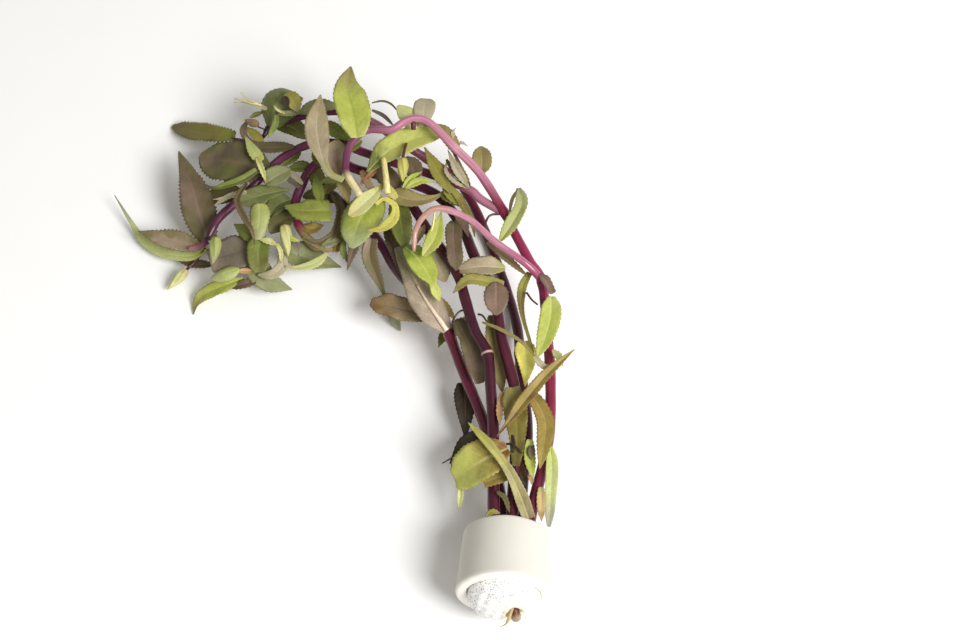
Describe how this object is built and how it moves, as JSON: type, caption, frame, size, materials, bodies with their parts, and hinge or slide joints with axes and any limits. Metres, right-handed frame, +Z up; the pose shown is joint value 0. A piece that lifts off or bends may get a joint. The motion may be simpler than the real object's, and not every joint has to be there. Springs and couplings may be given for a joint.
{
  "type": "rice paddy herb bunch",
  "caption": "Bunch of rooted aquatic herb stems with purple stalks and wilting green leaves, held at the foot by a soft plug in a tapered ceramic ring, lying on its side.",
  "frame": {"origin": "on the resting surface, under the centre of the bunch's bounding box", "axes": "+Y from the ceramic ring along the stems, +X to the right when the bunch is seen from above with the ring nearest, +Z up"},
  "size_m": [0.1568, 0.1924, 0.0381],
  "materials": {
    "ceramic": "chalky unglazed",
    "foam": "fibrous matte",
    "root": "matte",
    "maroon": "moist satin",
    "pink": "moist satin",
    "lime": "soft satin",
    "green": "soft satin",
    "olive": "matte",
    "grey": "matte",
    "tan": "matte",
    "brown": "matte",
    "dark": "matte",
    "cream": "soft satin"
  },
  "bodies": {
    "root": {"ring": "ceramic", "plug": "foam", "root_end": "root", "stem_1": "maroon", "stem_2": "maroon", "stem_3": "maroon", "stem_4": "maroon", "stem_5": "maroon", "shoot_6": "pink", "shoot_7": "pink", "leaf_1a": "dark", "leaf_1b": "dark", "leaf_1c": "tan", "leaf_1d": "tan", "leaf_1e": "brown", "leaf_1f": "olive", "leaf_1g": "brown", "leaf_2a": "lime", "leaf_2b": "olive", "leaf_2c": "brown", "leaf_2d": "brown", "leaf_2e": "lime", "leaf_2f": "green", "leaf_2g": "tan", "leaf_2h": "lime", "leaf_2i": "lime", "leaf_2j": "cream", "leaf_3a": "olive", "leaf_3b": "olive", "leaf_3c": "brown", "leaf_3d": "tan", "leaf_3e": "grey", "leaf_3f": "grey", "leaf_4a": "lime", "leaf_4b": "lime", "leaf_4c": "grey", "leaf_4d": "olive", "leaf_4e": "tan", "leaf_4f": "grey", "leaf_4g": "brown", "leaf_4h": "olive", "leaf_5a": "lime", "leaf_5b": "tan", "leaf_5c": "lime", "leaf_5d": "olive", "leaf_5e": "tan", "leaf_5f": "green", "leaf_5g": "lime", "leaf_5h": "brown", "leaf_5i": "tan", "leaf_6a": "brown", "leaf_6b": "brown", "leaf_6c": "brown", "leaf_6d": "green", "leaf_6e": "grey", "leaf_6f": "grey", "leaf_6g": "green", "leaf_6h": "olive", "leaf_7a": "lime", "bud_1": "lime"}
  },
  "joints": []
}
